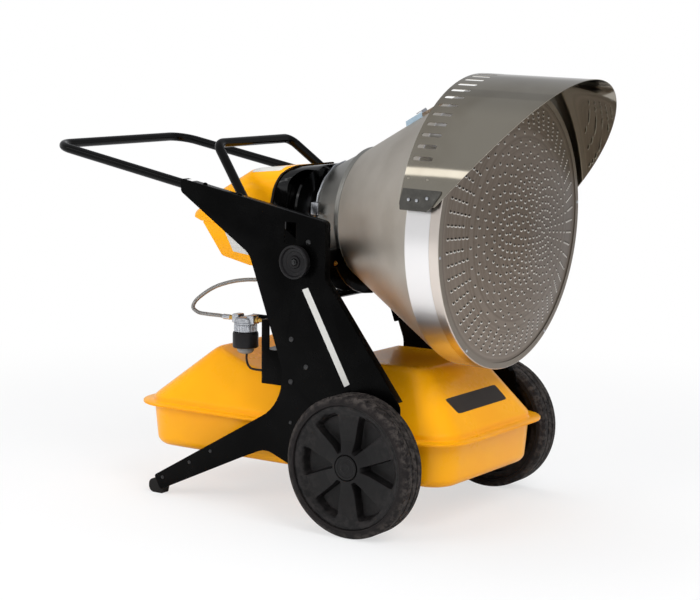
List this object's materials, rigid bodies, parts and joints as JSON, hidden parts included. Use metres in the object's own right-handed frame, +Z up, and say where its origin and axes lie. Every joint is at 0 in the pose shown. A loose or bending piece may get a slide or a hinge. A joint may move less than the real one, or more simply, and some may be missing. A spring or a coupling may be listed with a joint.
{
  "type": "portable infrared heater",
  "caption": "Oil-fired infrared heater on wheels: perforated radiation disc in a hooded cone that tilts between folded side plates over a fuel tank, with push handle and lifting hoop.",
  "frame": {"origin": "on the floor, at the middle of the bounding box's bottom", "axes": "+X the way the heat is thrown, +Y the heater's left side, +Z up"},
  "size_m": [1.3162, 0.684, 0.9991],
  "materials": {
    "tyre_rubber": "matt solid rubber with two grooves round the tread",
    "rubber": "matt moulded rubber",
    "black_plastic": "fine-grained black moulding",
    "grey_plastic": "smooth grey moulding",
    "lamp_red": "tinted clear lens",
    "black_coat": "satin black powder coat on steel",
    "black_gloss": "gloss black enamel on sheet steel",
    "motor_grey": "grey paint on steel",
    "orange_paint": "gloss orange-yellow paint on pressed steel",
    "satin_steel": "satin stainless sheet, spun",
    "heated_steel": "satin stainless sheet, warm grey",
    "polished_steel": "mirror-polished stainless sheet",
    "zinc": "zinc-plated steel",
    "fan_alloy": "bare cast alloy",
    "brass": "bare turned brass",
    "braided_hose": "steel braid over a rubber hose"
  },
  "bodies": {
    "chassis": {"side_plate_right": "black_coat", "side_plate_left": "black_coat", "foot_cap_right": "rubber", "foot_cap_left": "rubber", "stub_axle_right": "zinc", "stub_axle_left": "zinc", "push_handle": "black_coat", "lifting_hoop": "black_coat", "cross_tube": "black_coat", "tank_bar_front": "black_coat", "tank_bar_rear": "black_coat", "tank_upper_shell": "orange_paint", "tank_lower_pan": "orange_paint", "filler_neck": "orange_paint", "fuel_gauge": "black_plastic", "filter_head": "zinc", "filter_ring": "zinc", "filter_bowl": "black_plastic", "filter_outlet_fitting": "brass", "filter_inlet_fitting": "brass", "filter_bracket": "black_coat", "supply_pipe": "brass", "fuel_hose": "braided_hose"},
    "wheel_right": {"tyre_right": "tyre_rubber", "wheel_rim_right": "black_plastic"},
    "wheel_left": {"tyre_left": "tyre_rubber", "wheel_rim_left": "black_plastic"},
    "cap": {"filler_cap": "black_plastic"},
    "head": {"reflector_cone": "satin_steel", "rear_collar": "satin_steel", "front_ring": "satin_steel", "radiation_disc": "heated_steel", "combustion_liner": "heated_steel", "burner_flange": "zinc", "spray_nozzle": "brass", "visor": "polished_steel", "visor_clip_right": "polished_steel", "visor_clip_left": "polished_steel", "cone_lug": "zinc", "cradle": "black_coat", "burner_cover": "orange_paint", "burner_casing": "black_gloss", "burner_chassis": "zinc", "blower_housing": "zinc", "blower_motor": "motor_grey", "fuel_pump": "fan_alloy", "igniter": "black_plastic", "control_box": "orange_paint", "control_panel": "black_plastic", "signal_lamp": "lamp_red", "power_inlet": "black_plastic", "hose_fitting": "brass"},
    "knob_right": {"tilt_knob_right": "black_plastic"},
    "knob_left": {"tilt_knob_left": "black_plastic"},
    "rotor": {"fan_rotor": "fan_alloy"},
    "rocker": {"power_switch": "black_plastic"},
    "dial": {"thermostat_dial": "black_plastic"}
  },
  "joints": [
    {"name": "head_tilt", "type": "hinge", "parent": "chassis", "child": "head", "pos_m": [0.09458, 0, 0.591], "axis": [0, 1, 0], "range_deg": [-20, 5], "deforming": ["fuel_hose"]},
    {"name": "wheel_right_roll", "type": "hinge", "parent": "chassis", "child": "wheel_right", "pos_m": [0.27658, -0.306, 0.159], "axis": [0, 1, 0], "continuous": true},
    {"name": "wheel_left_roll", "type": "hinge", "parent": "chassis", "child": "wheel_left", "pos_m": [0.27658, 0.306, 0.159], "axis": [0, 1, 0], "continuous": true},
    {"name": "filler_cap_turn", "type": "hinge", "parent": "chassis", "child": "cap", "pos_m": [-0.01342, 0.092, 0.32], "axis": [0, 0, 1], "range_deg": [0, 90]},
    {"name": "knob_right_turn", "type": "hinge", "parent": "head", "child": "knob_right", "pos_m": [0.09458, -0.272, 0.591], "axis": [0, 1, 0], "range_deg": [0, 360]},
    {"name": "knob_left_turn", "type": "hinge", "parent": "head", "child": "knob_left", "pos_m": [0.09458, 0.272, 0.591], "axis": [0, 1, 0], "range_deg": [0, 360]},
    {"name": "rotor_spin", "type": "hinge", "parent": "head", "child": "rotor", "pos_m": [0.09733, 0, 0.68096], "axis": [0.9995, 0, -0.0307], "continuous": true},
    {"name": "power_switch_rock", "type": "hinge", "parent": "head", "child": "rocker", "pos_m": [-0.23913, 0.1213, 0.62426], "axis": [0.9995, 0, -0.0307], "range_deg": [-14, 0]},
    {"name": "thermostat_turn", "type": "hinge", "parent": "head", "child": "dial", "pos_m": [-0.2017, 0.1213, 0.62311], "axis": [0, 1, 0], "range_deg": [0, 270]}
  ]
}
